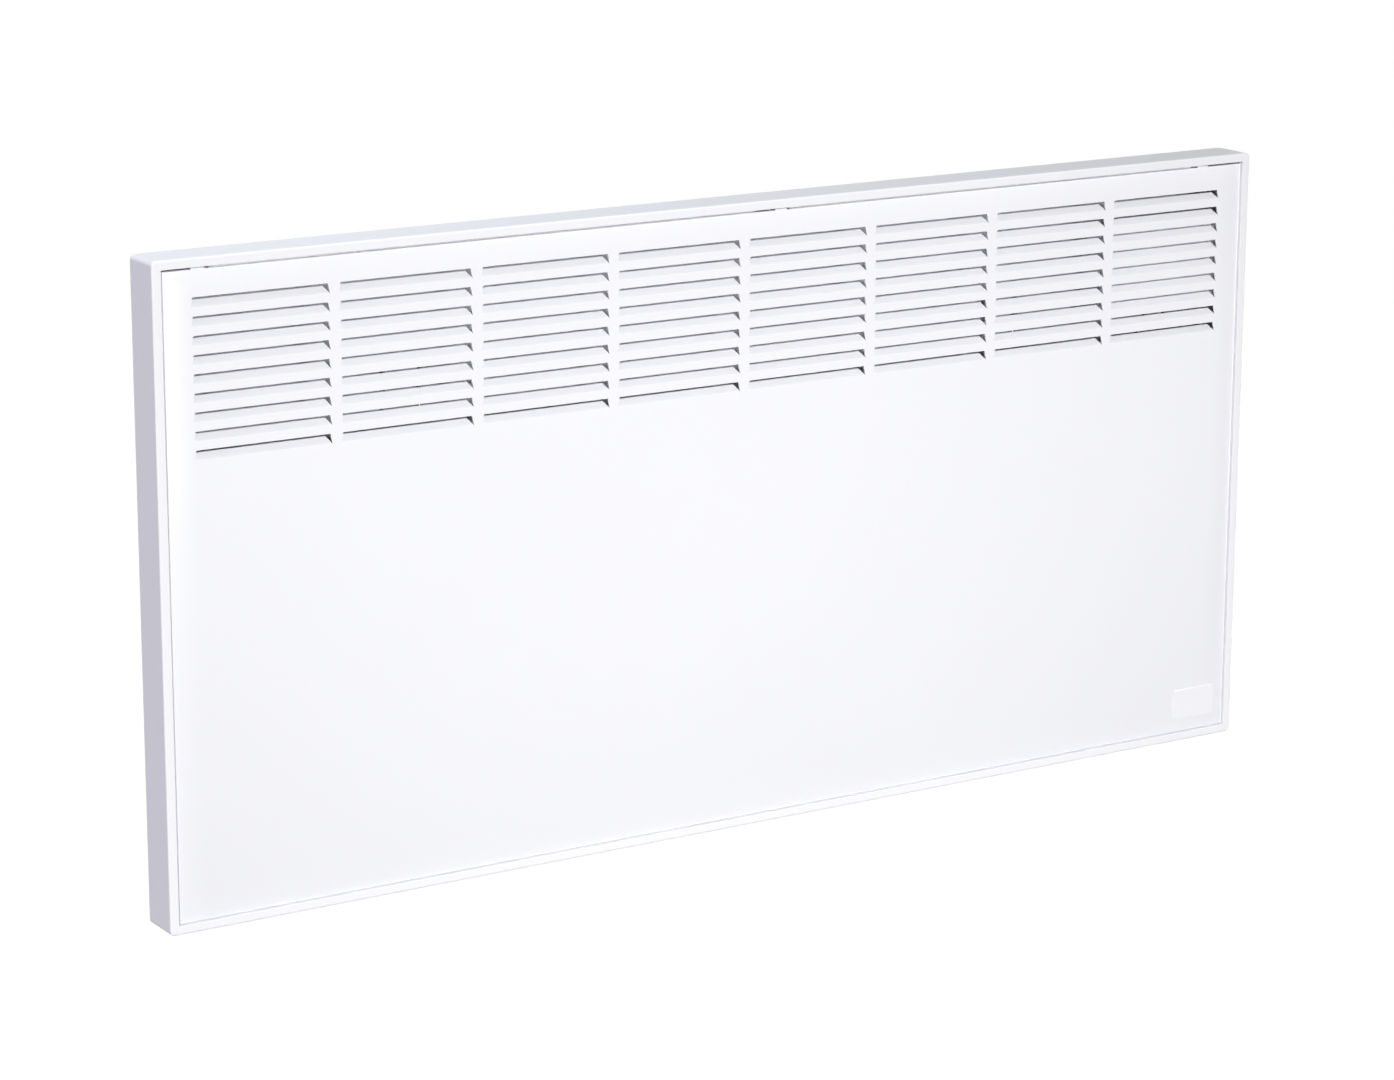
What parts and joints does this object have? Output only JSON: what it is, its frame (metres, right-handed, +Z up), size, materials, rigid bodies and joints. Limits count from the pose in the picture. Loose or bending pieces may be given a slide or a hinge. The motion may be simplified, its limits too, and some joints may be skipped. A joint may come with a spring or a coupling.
{
  "type": "wall panel convector heater",
  "caption": "Slim white wall-hung electric panel convector: framed steel casing, rows of lanced louvres across the top, controls in a side pocket, hung on hooked wall rails.",
  "frame": {"origin": "centre of the four wall screw holes, on the wall plane at the backs of the two rails", "axes": "+X to the right seen from the front, along the casing's length; +Y into the wall, so the front faces -Y; +Z up"},
  "size_m": [0.903, 0.062, 0.452],
  "materials": {
    "painted_casing": "cool white gloss powder coat",
    "painted_panel": "cool white gloss powder coat, formed louvres",
    "painted_cover": "cool white powder coat, satin",
    "rail_steel": "zinc-plated folded strip",
    "bare_plate": "satin anodised plate, left bare",
    "zinc_screws": "bright zinc",
    "finned_aluminium": "as extruded, matt",
    "rod_steel": "heat-tinted stainless",
    "bush_ceramic": "off-white ceramic-filled bush",
    "inner_steel": "galvanised sheet",
    "shield_aluminium": "bright aluminised sheet",
    "cutout_black": "black phenolic",
    "control_plastic": "white moulded plastic, fine texture",
    "knob_plastic": "pale grey moulded plastic",
    "thermostat_steel": "nickel-plated housing",
    "switch_black": "black moulded plastic",
    "lamp_red": "clear red lens",
    "gland_rubber": "pale grey rubber",
    "block_plastic": "natural polyamide",
    "brass_nut": "plain brass",
    "copper_tube": "drawn copper",
    "brown_lead": "brown silicone sleeve",
    "blue_lead": "blue silicone sleeve",
    "earth_lead": "green and yellow silicone sleeve"
  },
  "bodies": {
    "wall_mount": {"wall_rail_left": "rail_steel", "wall_rail_right": "rail_steel"},
    "knob": {"thermostat_knob": "knob_plastic", "thermostat_shaft": "thermostat_steel"},
    "rocker": {"switch_rocker": "switch_black"},
    "heater": {"casing_frame_top": "painted_casing", "casing_frame_bottom": "painted_casing", "casing_frame_left": "painted_casing", "casing_frame_right": "painted_casing", "front_panel": "painted_panel", "badge_plate": "bare_plate", "rear_cover": "painted_cover", "rear_cover_screws": "zinc_screws", "element_lower": "finned_aluminium", "element_upper": "finned_aluminium", "element_rods": "rod_steel", "terminal_pins": "rod_steel", "element_bushes": "bush_ceramic", "element_bracket_left": "inner_steel", "element_bracket_right": "inner_steel", "element_bracket_screws": "zinc_screws", "heat_shield": "shield_aluminium", "air_deflector": "inner_steel", "cutout_clip": "inner_steel", "overheat_cutout": "cutout_black", "control_bezel": "control_plastic", "control_housing": "control_plastic", "housing_cover": "control_plastic", "housing_screws": "zinc_screws", "thermostat_body": "thermostat_steel", "thermostat_nut": "zinc_screws", "switch_body": "switch_black", "indicator_lamp": "lamp_red", "cord_gland": "gland_rubber", "terminal_block": "block_plastic", "earth_stud": "brass_nut", "earth_nut": "brass_nut", "sensor_bulb": "copper_tube", "bulb_clip": "inner_steel", "capillary_tube": "copper_tube", "lead_clips": "block_plastic", "live_lead": "brown_lead", "switch_lead": "brown_lead", "heating_lead": "brown_lead", "cutout_lead": "brown_lead", "neutral_lead": "blue_lead", "link_lead": "brown_lead", "earth_lead": "earth_lead"}
  },
  "joints": [
    {"name": "lift_off", "type": "slide", "parent": "wall_mount", "child": "heater", "axis": [0, 0, 1], "range_m": [0, 0.012]},
    {"name": "thermostat_turn", "type": "hinge", "parent": "heater", "child": "knob", "pos_m": [0.45, -0.0435, 0.162], "axis": [-1, 0, 0], "range_deg": [0, 270]},
    {"name": "rocker_press", "type": "hinge", "parent": "heater", "child": "rocker", "pos_m": [0.437, -0.0435, 0.129], "axis": [0, 1, 0], "range_deg": [0, 16]}
  ]
}
